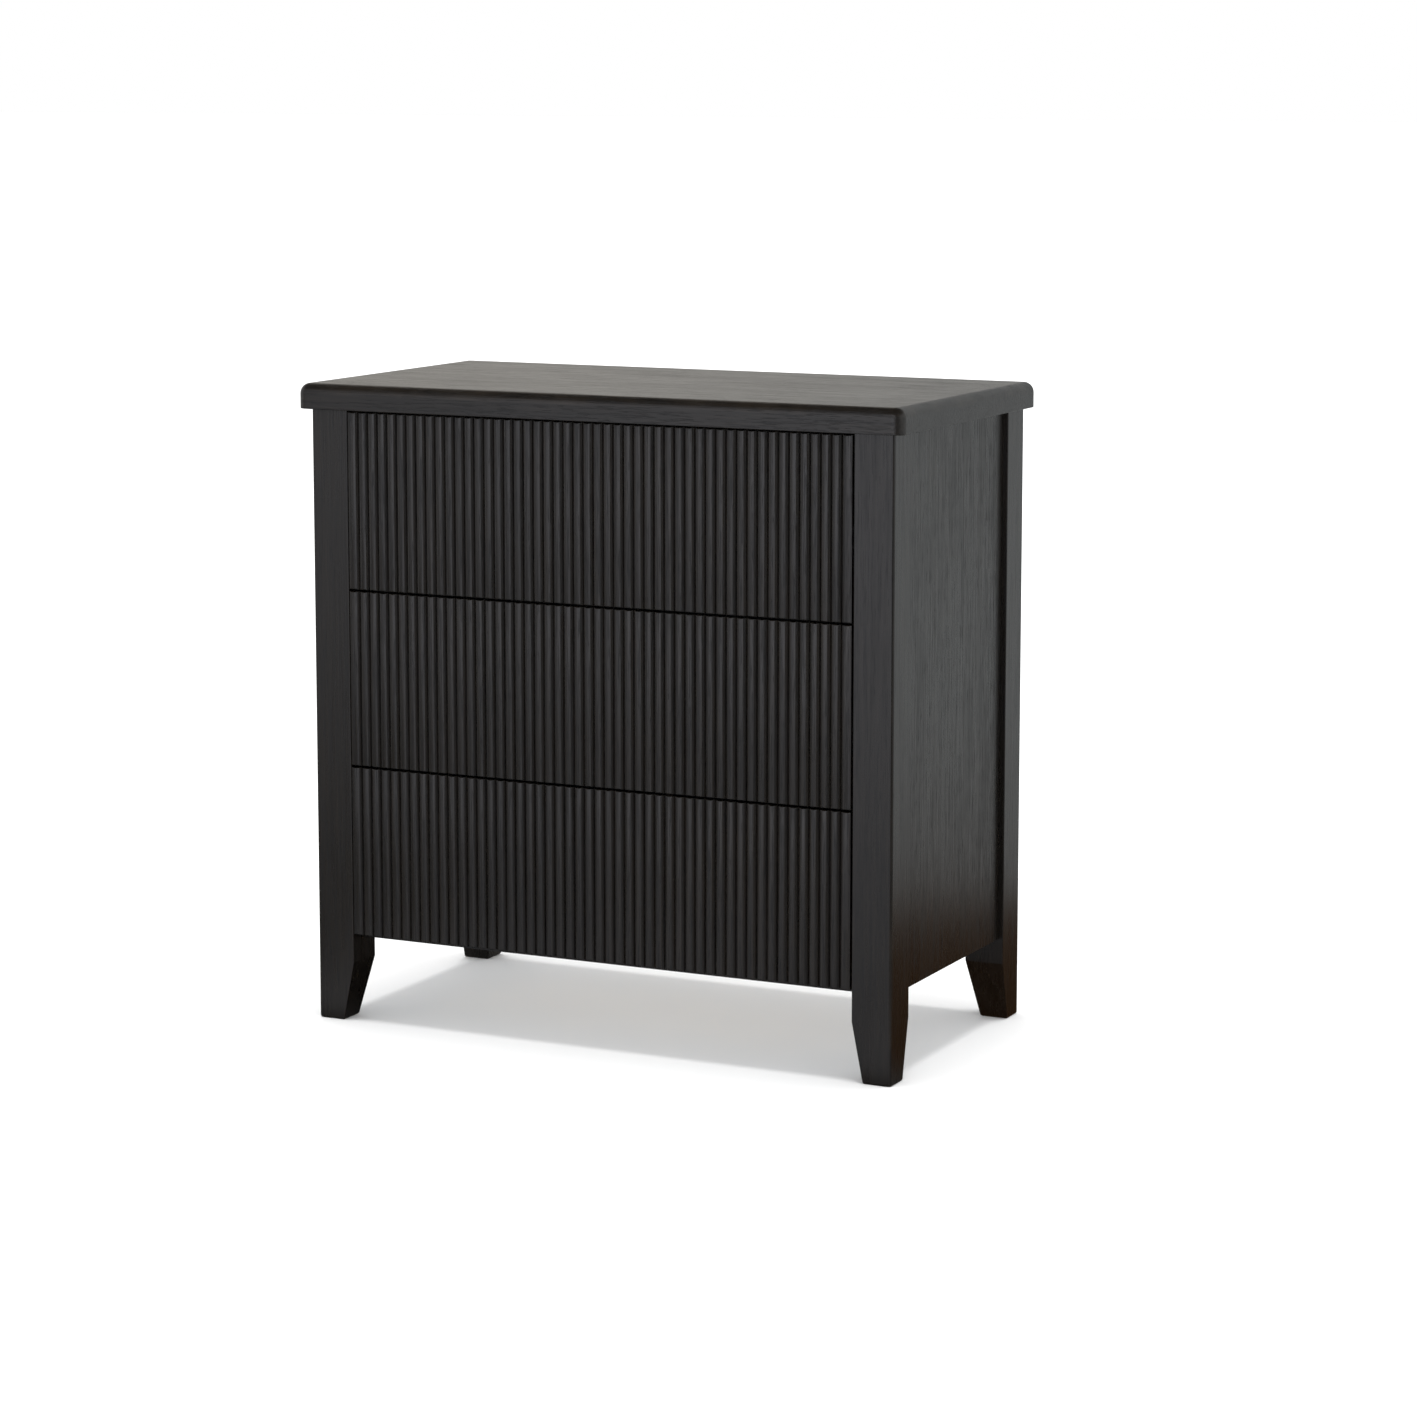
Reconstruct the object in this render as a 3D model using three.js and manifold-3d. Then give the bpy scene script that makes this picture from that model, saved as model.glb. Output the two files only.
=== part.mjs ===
// Nightstand with three reeded drawers on full-extension ball-bearing slides.
// Millimetres. +X is to the right, -Y is the front, +Z is up.
// The origin is on the floor, at the middle of the whole piece.
import * as THREE from "three";
import { ConvexGeometry } from "three/addons/geometries/ConvexGeometry.js";
import { mergeVertices } from "three/addons/utils/BufferGeometryUtils.js";
import Module from "manifold-3d";

const wasm = await Module();
wasm.setup();

// Overall
const HEIGHT = 711;
const TOP_THICKNESS = 28;
const TOP_WIDTH = 720;
const TOP_DEPTH = 377;
const TOP_EDGE_RADIUS = 11.5;
const TOP_CORNER_RADIUS = 12;
const TOP_UNDERSIDE = HEIGHT - TOP_THICKNESS;

// Carcass
const CASE_HALF_WIDTH = 347.5;
const CASE_FRONT = -177.5;
const CASE_BACK = 182.5;
const POST_WIDTH = 45;
const POST_DEPTH = 47;
const CASE_BOTTOM = 91.5;
const FOOT_TAPER_START = 65.5;
const FOOT_WIDTH = 32;
const FOOT_DEPTH = 32;
const OPENING_HALF_WIDTH = CASE_HALF_WIDTH - POST_WIDTH;
const FRONT_POST_BACK = CASE_FRONT + POST_DEPTH;
const REAR_POST_FRONT = CASE_BACK - POST_DEPTH;

// Side panels, set back from the posts and tongued into them
const PANEL_SETBACK = 6;
const PANEL_THICKNESS = 19;
const PANEL_BOTTOM = CASE_BOTTOM + 2;
const TONGUE_THICKNESS = 8;
const TONGUE_LENGTH = 8;
const TONGUE_CLEARANCE = 0.25;
const PANEL_OUTER = CASE_HALF_WIDTH - PANEL_SETBACK;
const PANEL_INNER = PANEL_OUTER - PANEL_THICKNESS;

// Back panel, held in grooves in the rear posts
const BACK_THICKNESS = 6;
const BACK_FRONT_FACE = 168;
const BACK_GROOVE_DEPTH = 6;

// Rails
const RAIL_DEPTH = 20;
const RAIL_HEIGHT = 20;
const FRONT_RAIL_FACE = -153.5;
const REAR_RAIL_FACE = BACK_FRONT_FACE - RAIL_DEPTH;
const REAR_UPPER_RAIL_HEIGHT = 35;

// Drawer fronts
const FRONT_HALF_WIDTH = 301;
const FRONT_THICKNESS = 20;
const FRONT_BACK_FACE = CASE_FRONT + FRONT_THICKNESS;
const REEDS = 50;
const REED_PITCH = (2 * FRONT_HALF_WIDTH) / REEDS;
const GROOVE_HALF_WIDTH = 1.25;
const GROOVE_DEPTH = 3.5;
// One reed from the groove to its crown: distance along the front and depth behind the crown
const REED_PROFILE = [[GROOVE_HALF_WIDTH, GROOVE_DEPTH], [1.75, 1.5], [4, 0.25]];

// Drawer boxes
const BOX_HALF_WIDTH = 289.75;
const BOX_WALL = 12;
const BOX_HEIGHT = 140;
const BOX_BACK_FACE = 146.5;
const BOX_ABOVE_RAIL = 7;
const BOTTOM_THICKNESS = 6;
const BOTTOM_HEIGHT = 10;
const BOTTOM_GROOVE = 6;
const BOX_INNER = BOX_HALF_WIDTH - BOX_WALL;

// Slides
const SLIDE_FRONT = -153.5;
const SLIDE_LENGTH = 300;
const SLIDE_ABOVE_BOX_BOTTOM = 60;
const SLIDE_GAUGE = 1.25;
// Channel members, nested in one another. web and tip are depths from the case side of the
// slide towards the drawer: where the web's outer face is and how far the flanges reach.
const SLIDE_MEMBERS = {
  case: { halfHeight: 22.5, web: 0, tip: 10, lip: 2 },
  middle: { halfHeight: 18, web: 2.25, tip: 10.5, lip: 0 },
  drawer: { halfHeight: 13.5, web: 12.75, tip: 4.5, lip: 0 },
};
const PACKER_HEIGHT = 70;

// Drawers from the top: heights of the bottom and top edges of each front,
// and of the top of the rail below it
const DRAWERS = [
  { bottom: 485.75, top: 680.5, rail: 494.5 },
  { bottom: 289.75, top: 483.25, rail: 298.5 },
  { bottom: 99, top: 287.25, rail: CASE_BOTTOM + RAIL_HEIGHT },
];

const stainedWood = new THREE.MeshStandardMaterial({ color: 0x3d3b38, roughness: 0.45, metalness: 0 });
const drawerWood = new THREE.MeshStandardMaterial({ color: 0xc8a678, roughness: 0.55, metalness: 0 });
const drawerPly = new THREE.MeshStandardMaterial({ color: 0xd3b78c, roughness: 0.6, metalness: 0 });
const zincSteel = new THREE.MeshStandardMaterial({ color: 0xb4b8bc, roughness: 0.35, metalness: 1 });

const nightstand = new THREE.Group();
nightstand.name = "nightstand";

function add(name, geometry, material) {
  const mesh = new THREE.Mesh(geometry, material);
  mesh.name = name;
  nightstand.add(mesh);
}

// A box between two corners
function block(x0, x1, y0, y1, z0, z1) {
  const geometry = new THREE.BoxGeometry(x1 - x0, y1 - y0, z1 - z0);
  geometry.translate((x0 + x1) / 2, (y0 + y1) / 2, (z0 + z1) / 2);
  return geometry;
}

// A box given by its distances from the centre plane; side is -1 for left and 1 for right
function sideBlock(side, inner, outer, y0, y1, z0, z1) {
  return block(Math.min(side * inner, side * outer), Math.max(side * inner, side * outer), y0, y1, z0, z1);
}

// A straight bar with a constant section. The section's points are (y, z) for a bar along X,
// (z, x) for a bar along Y and (x, y) for a bar along Z.
function bar(axis, section, start, end) {
  const shape = new THREE.Shape(section.map(([u, v]) => new THREE.Vector2(u, v)));
  const geometry = new THREE.ExtrudeGeometry(shape, { depth: end - start, bevelEnabled: false });
  geometry.translate(0, 0, start);
  const place = geometry.getAttribute("position");
  for (let i = 0; i < place.count; i += 1) {
    const u = place.getX(i);
    const v = place.getY(i);
    const w = place.getZ(i);
    if (axis === "x") {
      place.setXYZ(i, w, u, v);
    }
    if (axis === "y") {
      place.setXYZ(i, v, w, u);
    }
  }
  geometry.deleteAttribute("uv");
  geometry.computeVertexNormals();
  return geometry;
}

function toSolid(geometry) {
  const bare = new THREE.BufferGeometry();
  bare.setAttribute("position", geometry.getAttribute("position"));
  bare.setIndex(geometry.getIndex());
  const welded = mergeVertices(bare, 1e-4);
  return new wasm.Manifold(
    new wasm.Mesh({
      numProp: 3,
      vertProperties: new Float32Array(welded.getAttribute("position").array),
      triVerts: new Uint32Array(welded.getIndex().array),
    }),
  );
}

function toGeometry(solid) {
  const mesh = solid.getMesh();
  const geometry = new THREE.BufferGeometry();
  geometry.setAttribute("position", new THREE.BufferAttribute(new Float32Array(mesh.vertProperties), 3));
  geometry.setIndex(new THREE.BufferAttribute(new Uint32Array(mesh.triVerts), 1));
  const flat = geometry.toNonIndexed();
  flat.computeVertexNormals();
  return flat;
}

const QUARTERS = [[1, 1], [-1, 1], [-1, -1], [1, -1]];

// Points of the top's outline, shrunk by an inset on every side
function topOutline(inset, steps) {
  const points = [];
  const radius = TOP_CORNER_RADIUS - inset;
  QUARTERS.forEach(([sx, sy], quarter) => {
    for (let i = 0; i <= steps; i += 1) {
      const angle = ((quarter + i / steps) * Math.PI) / 2;
      points.push([
        sx * (TOP_WIDTH / 2 - TOP_CORNER_RADIUS) + radius * Math.cos(angle),
        sy * (TOP_DEPTH / 2 - TOP_CORNER_RADIUS) + radius * Math.sin(angle),
      ]);
    }
  });
  return points;
}

// Top panel: square lower edge, rounded upper edge, rounded corners. Its skin is a stack of
// rounded rectangles; each flat end is a plain rectangle between the corner centres, with a
// strip along each side of it and a fan at each corner.
function topPanel() {
  const cornerSteps = 5;
  const edgeSteps = 5;
  const levels = [{ inset: 0, z: TOP_UNDERSIDE }];
  for (let i = 0; i <= edgeSteps; i += 1) {
    const angle = ((i / edgeSteps) * Math.PI) / 2;
    levels.push({
      inset: TOP_EDGE_RADIUS * (1 - Math.cos(angle)),
      z: HEIGHT - TOP_EDGE_RADIUS * (1 - Math.sin(angle)),
    });
  }
  const positions = [];
  for (const { inset, z } of levels) {
    for (const [x, y] of topOutline(inset, cornerSteps)) {
      positions.push(x, y, z);
    }
  }
  const index = [];
  const size = 4 * (cornerSteps + 1);
  for (let level = 0; level + 1 < levels.length; level += 1) {
    for (let i = 0; i < size; i += 1) {
      const a = level * size + i;
      const b = level * size + ((i + 1) % size);
      index.push(a, b, b + size, a, b + size, a + size);
    }
  }
  for (const [level, up] of [[0, false], [levels.length - 1, true]]) {
    const hub = positions.length / 3;
    for (const [sx, sy] of QUARTERS) {
      positions.push(
        sx * (TOP_WIDTH / 2 - TOP_CORNER_RADIUS),
        sy * (TOP_DEPTH / 2 - TOP_CORNER_RADIUS),
        levels[level].z,
      );
    }
    const triangles = [[hub, hub + 1, hub + 2], [hub, hub + 2, hub + 3]];
    for (let quarter = 0; quarter < 4; quarter += 1) {
      const first = level * size + quarter * (cornerSteps + 1);
      const last = first + cornerSteps;
      const next = level * size + ((quarter + 1) % 4) * (cornerSteps + 1);
      const nextHub = hub + ((quarter + 1) % 4);
      for (let i = first; i < last; i += 1) {
        triangles.push([hub + quarter, i, i + 1]);
      }
      triangles.push([hub + quarter, last, next], [hub + quarter, next, nextHub]);
    }
    for (const [a, b, c] of triangles) {
      index.push(...(up ? [a, b, c] : [a, c, b]));
    }
  }
  const geometry = new THREE.BufferGeometry();
  geometry.setAttribute("position", new THREE.Float32BufferAttribute(positions, 3));
  geometry.setIndex(index);
  const flat = geometry.toNonIndexed();
  flat.computeVertexNormals();
  return flat;
}

// Post and foot in one piece. The foot tapers on its two inner faces only.
// side is -1 for left and 1 for right; end is -1 for front and 1 for rear.
function post(side, end) {
  const outerY = end < 0 ? CASE_FRONT : CASE_BACK;
  const innerY = outerY - end * POST_DEPTH;
  const x0 = side * CASE_HALF_WIDTH;
  const x1 = side * OPENING_HALF_WIDTH;
  const footX = x0 - side * FOOT_WIDTH;
  const footY = outerY - end * FOOT_DEPTH;
  const corners = [];
  for (const [z, x, y] of [[0, footX, footY], [FOOT_TAPER_START, x1, innerY]]) {
    for (const px of [x0, x]) {
      for (const py of [outerY, y]) {
        corners.push(new THREE.Vector3(px, py, z));
      }
    }
  }
  const foot = toSolid(new ConvexGeometry(corners));
  const shaft = toSolid(
    sideBlock(
      side,
      OPENING_HALF_WIDTH,
      CASE_HALF_WIDTH,
      Math.min(innerY, outerY),
      Math.max(innerY, outerY),
      FOOT_TAPER_START,
      TOP_UNDERSIDE,
    ),
  );
  const tongueInner = PANEL_INNER + (PANEL_THICKNESS - TONGUE_THICKNESS) / 2;
  const grooveEnd = innerY + end * (TONGUE_LENGTH + TONGUE_CLEARANCE);
  const panelGroove = toSolid(
    sideBlock(
      side,
      tongueInner,
      tongueInner + TONGUE_THICKNESS,
      Math.min(innerY - end, grooveEnd),
      Math.max(innerY - end, grooveEnd),
      PANEL_BOTTOM,
      TOP_UNDERSIDE + 1,
    ),
  );
  let solid = foot.add(shaft).subtract(panelGroove);
  if (end > 0) {
    const backGroove = toSolid(
      sideBlock(
        side,
        OPENING_HALF_WIDTH - 1,
        OPENING_HALF_WIDTH + BACK_GROOVE_DEPTH + TONGUE_CLEARANCE,
        BACK_FRONT_FACE,
        BACK_FRONT_FACE + BACK_THICKNESS,
        CASE_BOTTOM,
        TOP_UNDERSIDE + 1,
      ),
    );
    solid = solid.subtract(backGroove);
  }
  return toGeometry(solid);
}

// Side panel with a tongue along its front and rear edges
function sidePanel(side) {
  const t0 = PANEL_INNER + (PANEL_THICKNESS - TONGUE_THICKNESS) / 2;
  const t1 = t0 + TONGUE_THICKNESS;
  const y0 = FRONT_POST_BACK;
  const y1 = REAR_POST_FRONT;
  const section = [
    [PANEL_INNER, y0],
    [t0, y0],
    [t0, y0 - TONGUE_LENGTH],
    [t1, y0 - TONGUE_LENGTH],
    [t1, y0],
    [PANEL_OUTER, y0],
    [PANEL_OUTER, y1],
    [t1, y1],
    [t1, y1 + TONGUE_LENGTH],
    [t0, y1 + TONGUE_LENGTH],
    [t0, y1],
    [PANEL_INNER, y1],
  ];
  return bar("z", section.map(([x, y]) => [side * x, y]), PANEL_BOTTOM, TOP_UNDERSIDE);
}

// Drawer front: a row of rounded reeds with flat-bottomed grooves between them
function reededFront(bottom, top) {
  const section = [
    [-FRONT_HALF_WIDTH, FRONT_BACK_FACE],
    [-FRONT_HALF_WIDTH, CASE_FRONT + GROOVE_DEPTH],
  ];
  for (let i = 0; i < REEDS; i += 1) {
    const left = -FRONT_HALF_WIDTH + i * REED_PITCH;
    for (const [along, depth] of REED_PROFILE) {
      section.push([left + along, CASE_FRONT + depth]);
    }
    for (const [along, depth] of REED_PROFILE.slice().reverse()) {
      section.push([left + REED_PITCH - along, CASE_FRONT + depth]);
    }
  }
  section.push([FRONT_HALF_WIDTH, CASE_FRONT + GROOVE_DEPTH]);
  section.push([FRONT_HALF_WIDTH, FRONT_BACK_FACE]);
  return bar("z", section, bottom, top);
}

// Drawer side with a groove for the bottom; side is -1 for left and 1 for right
function drawerSide(side, bottom) {
  const z0 = bottom + BOTTOM_HEIGHT;
  const z1 = z0 + BOTTOM_THICKNESS;
  const section = [
    [bottom, BOX_HALF_WIDTH],
    [bottom, BOX_INNER],
    [z0, BOX_INNER],
    [z0, BOX_INNER + BOTTOM_GROOVE],
    [z1, BOX_INNER + BOTTOM_GROOVE],
    [z1, BOX_INNER],
    [bottom + BOX_HEIGHT, BOX_INNER],
    [bottom + BOX_HEIGHT, BOX_HALF_WIDTH],
  ];
  return bar("y", section.map(([z, x]) => [z, side * x]), FRONT_BACK_FACE, BOX_BACK_FACE);
}

// Inner front or back of a drawer box, with the same groove; inward is 1 when the inside
// of the box is towards +Y and -1 when it is towards -Y
function drawerEnd(outerFace, inward, bottom) {
  const innerFace = outerFace + inward * BOX_WALL;
  const grooveEnd = innerFace - inward * BOTTOM_GROOVE;
  const z0 = bottom + BOTTOM_HEIGHT;
  const z1 = z0 + BOTTOM_THICKNESS;
  const section = [
    [outerFace, bottom],
    [innerFace, bottom],
    [innerFace, z0],
    [grooveEnd, z0],
    [grooveEnd, z1],
    [innerFace, z1],
    [innerFace, bottom + BOX_HEIGHT],
    [outerFace, bottom + BOX_HEIGHT],
  ];
  return bar("x", section, -BOX_INNER, BOX_INNER);
}

function drawerBottom(bottom) {
  return block(
    -BOX_INNER - BOTTOM_GROOVE,
    BOX_INNER + BOTTOM_GROOVE,
    FRONT_BACK_FACE + BOX_WALL - BOTTOM_GROOVE,
    BOX_BACK_FACE - BOX_WALL + BOTTOM_GROOVE,
    bottom + BOTTOM_HEIGHT,
    bottom + BOTTOM_HEIGHT + BOTTOM_THICKNESS,
  );
}

// A slide member: a channel with its web upright, and with lips on the flanges of the outer one
function slideMember(side, centreZ, { halfHeight, web, tip, lip }) {
  const inward = Math.sign(tip - web);
  const flangeInside = halfHeight - SLIDE_GAUGE;
  const webInside = web + inward * SLIDE_GAUGE;
  const upper = [[web, halfHeight], [tip, halfHeight]];
  if (lip > 0) {
    const lipInside = tip - inward * SLIDE_GAUGE;
    upper.push([tip, flangeInside - lip], [lipInside, flangeInside - lip], [lipInside, flangeInside]);
  } else {
    upper.push([tip, flangeInside]);
  }
  upper.push([webInside, flangeInside]);
  const lower = upper.map(([depth, z]) => [depth, -z]).reverse();
  const section = [...upper, ...lower].map(([depth, z]) => [
    centreZ + z,
    side * (OPENING_HALF_WIDTH - depth),
  ]);
  return bar("y", section, SLIDE_FRONT, SLIDE_FRONT + SLIDE_LENGTH);
}

add("top_panel", topPanel(), stainedWood);

const SIDES = [["left", -1], ["right", 1]];
const ENDS = [["front", -1], ["rear", 1]];
for (const [sideName, side] of SIDES) {
  for (const [endName, end] of ENDS) {
    add(`post_${endName}_${sideName}`, post(side, end), stainedWood);
  }
  add(`side_panel_${sideName}`, sidePanel(side), stainedWood);
  add(
    `top_cleat_${sideName}`,
    sideBlock(
      side,
      OPENING_HALF_WIDTH,
      PANEL_INNER,
      FRONT_POST_BACK,
      REAR_POST_FRONT,
      TOP_UNDERSIDE - RAIL_HEIGHT,
      TOP_UNDERSIDE,
    ),
    stainedWood,
  );
}

add(
  "back_panel",
  block(
    -OPENING_HALF_WIDTH - BACK_GROOVE_DEPTH,
    OPENING_HALF_WIDTH + BACK_GROOVE_DEPTH,
    BACK_FRONT_FACE,
    BACK_FRONT_FACE + BACK_THICKNESS,
    CASE_BOTTOM,
    TOP_UNDERSIDE,
  ),
  stainedWood,
);

function rail(name, face, z0, z1) {
  add(name, block(-OPENING_HALF_WIDTH, OPENING_HALF_WIDTH, face, face + RAIL_DEPTH, z0, z1), stainedWood);
}

rail("front_rail_top", FRONT_RAIL_FACE, TOP_UNDERSIDE - RAIL_HEIGHT, TOP_UNDERSIDE);
rail("front_rail_divider_upper", FRONT_RAIL_FACE, DRAWERS[0].rail - RAIL_HEIGHT, DRAWERS[0].rail);
rail("front_rail_divider_lower", FRONT_RAIL_FACE, DRAWERS[1].rail - RAIL_HEIGHT, DRAWERS[1].rail);
rail("front_rail_bottom", FRONT_RAIL_FACE, DRAWERS[2].rail - RAIL_HEIGHT, DRAWERS[2].rail);
rail("rear_rail_upper", REAR_RAIL_FACE, TOP_UNDERSIDE - REAR_UPPER_RAIL_HEIGHT, TOP_UNDERSIDE);
rail("rear_rail_lower", REAR_RAIL_FACE, CASE_BOTTOM, CASE_BOTTOM + RAIL_HEIGHT);

DRAWERS.forEach((drawer, i) => {
  const number = i + 1;
  const boxBottom = drawer.rail + BOX_ABOVE_RAIL;
  const slideZ = boxBottom + SLIDE_ABOVE_BOX_BOTTOM;
  add(`drawer_${number}_front`, reededFront(drawer.bottom, drawer.top), stainedWood);
  add(`drawer_${number}_inner_front`, drawerEnd(FRONT_BACK_FACE, 1, boxBottom), drawerWood);
  add(`drawer_${number}_back`, drawerEnd(BOX_BACK_FACE, -1, boxBottom), drawerWood);
  add(`drawer_${number}_bottom`, drawerBottom(boxBottom), drawerPly);
  for (const [sideName, side] of SIDES) {
    add(`drawer_${number}_side_${sideName}`, drawerSide(side, boxBottom), drawerWood);
    add(
      `slide_packer_${number}_${sideName}`,
      sideBlock(
        side,
        OPENING_HALF_WIDTH,
        PANEL_INNER,
        FRONT_POST_BACK,
        REAR_POST_FRONT,
        slideZ - PACKER_HEIGHT / 2,
        slideZ + PACKER_HEIGHT / 2,
      ),
      stainedWood,
    );
    for (const [member, shape] of Object.entries(SLIDE_MEMBERS)) {
      add(`slide_${number}_${member}_member_${sideName}`, slideMember(side, slideZ, shape), zincSteel);
    }
  }
});

export default nightstand;
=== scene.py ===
"""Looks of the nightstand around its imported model. Blender 4.5, metres, front towards -Y."""
import math

import bmesh
import bpy
from mathutils import Matrix, Vector


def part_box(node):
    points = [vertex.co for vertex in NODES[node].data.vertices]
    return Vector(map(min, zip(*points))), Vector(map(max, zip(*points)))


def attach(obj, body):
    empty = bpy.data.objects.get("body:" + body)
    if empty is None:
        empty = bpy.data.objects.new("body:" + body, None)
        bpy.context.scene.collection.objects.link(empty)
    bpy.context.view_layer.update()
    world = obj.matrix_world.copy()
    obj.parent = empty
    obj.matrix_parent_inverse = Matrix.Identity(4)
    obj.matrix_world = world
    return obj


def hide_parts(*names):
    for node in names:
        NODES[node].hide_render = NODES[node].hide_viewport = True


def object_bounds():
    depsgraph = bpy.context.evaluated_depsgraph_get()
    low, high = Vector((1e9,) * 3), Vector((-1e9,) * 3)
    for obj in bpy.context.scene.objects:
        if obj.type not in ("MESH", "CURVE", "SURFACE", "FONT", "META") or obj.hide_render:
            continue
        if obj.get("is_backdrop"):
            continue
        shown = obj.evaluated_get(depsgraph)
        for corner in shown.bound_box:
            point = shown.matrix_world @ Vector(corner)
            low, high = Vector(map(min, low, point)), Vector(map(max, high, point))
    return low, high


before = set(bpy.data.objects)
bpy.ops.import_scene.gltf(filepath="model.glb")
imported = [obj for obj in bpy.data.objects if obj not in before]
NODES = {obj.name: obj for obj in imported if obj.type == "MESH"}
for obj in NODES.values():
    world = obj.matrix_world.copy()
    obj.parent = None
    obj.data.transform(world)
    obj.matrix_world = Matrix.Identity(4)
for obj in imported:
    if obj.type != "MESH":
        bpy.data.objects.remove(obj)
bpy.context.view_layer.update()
MM = 0.001
SIDES = (("left", -1), ("right", 1))
ENDS = (("front", -1), ("rear", 1))
DRAWERS = (1, 2, 3)


def quarter_round(radius, steps):
    """Points of a quarter circle against two faces: (distance from one, from the other)."""
    angles = [i / steps * math.pi / 2 for i in range(steps + 1)]
    return [(radius * (1 - math.sin(a)), radius * (1 - math.cos(a))) for a in angles]


# ---------------------------------------------------------------- node helpers


class Tree:
    """Small helper that adds and links shader nodes."""

    def __init__(self, tree):
        self.tree = tree
        tree.nodes.clear()

    def add(self, kind, **settings):
        node = self.tree.nodes.new(kind)
        for key, value in settings.items():
            setattr(node, key, value)
        return node

    def link(self, out, into):
        self.tree.links.new(out, into)

    def mapping(self, source, location=(0, 0, 0), scale=(1, 1, 1)):
        """Coordinates moved and scaled for a texture."""
        node = self.add("ShaderNodeMapping")
        node.inputs["Location"].default_value = location
        node.inputs["Scale"].default_value = scale
        self.link(source, node.inputs["Vector"])
        return node.outputs["Vector"]

    def noise(self, vector, detail=2.0, rough=0.5, distortion=0.0):
        """Noise of one feature a unit; the mapping of the vector sets its scale."""
        node = self.add("ShaderNodeTexNoise")
        node.inputs["Scale"].default_value = 1.0
        node.inputs["Detail"].default_value = detail
        node.inputs["Roughness"].default_value = rough
        node.inputs["Distortion"].default_value = distortion
        self.link(vector, node.inputs["Vector"])
        return node.outputs["Fac"]

    def ramp(self, source, low, high, out_low=0.0, out_high=1.0, smooth=True):
        """Takes low..high to out_low..out_high, clamped at both ends."""
        node = self.add("ShaderNodeMapRange")
        node.interpolation_type = "SMOOTHSTEP" if smooth else "LINEAR"
        node.inputs["From Min"].default_value = low
        node.inputs["From Max"].default_value = high
        node.inputs["To Min"].default_value = out_low
        node.inputs["To Max"].default_value = out_high
        self.link(source, node.inputs["Value"])
        return node.outputs["Result"]

    def math(self, operation, a, b):
        node = self.add("ShaderNodeMath", operation=operation)
        for value, socket in ((a, node.inputs[0]), (b, node.inputs[1])):
            if isinstance(value, (int, float)):
                socket.default_value = value
            else:
                self.link(value, socket)
        return node.outputs[0]

    def mix(self, factor, a, b):
        node = self.add("ShaderNodeMix", data_type="RGBA", blend_type="MIX")
        self.link(factor, node.inputs["Factor"])
        for value, socket in ((a, node.inputs["A"]), (b, node.inputs["B"])):
            if isinstance(value, tuple):
                socket.default_value = (*value, 1.0)
            else:
                self.link(value, socket)
        return node.outputs["Result"]

    def bump(self, shader, height, strength, distance):
        node = self.add("ShaderNodeBump")
        node.inputs["Strength"].default_value = strength
        node.inputs["Distance"].default_value = distance
        self.link(height, node.inputs["Height"])
        self.link(node.outputs["Normal"], shader.inputs["Normal"])


def new_material(name):
    material = bpy.data.materials.new(name)
    material.use_nodes = True
    tree = Tree(material.node_tree)
    shader = tree.add("ShaderNodeBsdfPrincipled")
    output = tree.add("ShaderNodeOutputMaterial")
    tree.link(shader.outputs["BSDF"], output.inputs["Surface"])
    coords = tree.add("ShaderNodeTexCoord").outputs["Object"]
    return material, tree, shader, coords


def stretch(axis, across, along):
    """Texture scale of a grain that runs along one axis."""
    return tuple(along if i == axis else across for i in range(3))


# Noise scales of the wood per metre: (across the grain, along it).
WANDER_SCALE = (9.0, 1.1)
BAND_SCALE = (70.0, 2.2)
STREAK_SCALE = (330.0, 9.0)
FIBRE_SCALE = (900.0, 16.0)
SLIT_SCALE = (1300.0, 42.0)
TONE_SCALE = (3.2, 1.4)
COVER_SCALE = (34.0, 7.0)
PATCH_SCALE = (26.0, 26.0)
# How far each of them moves the roughness of a fully uneven finish.
STREAK_DULL, STREAK_GLOSSY = 0.07, 0.05
BAND_ROUGH, COVER_ROUGH, PORE_ROUGH, RUBBED_GLOSS = 0.03, 0.05, 0.15, 0.06
FIBRE_RELIEF, STREAK_RELIEF, WOOD_RELIEF_DEPTH = 0.22, 0.55, 0.22 * MM


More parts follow.
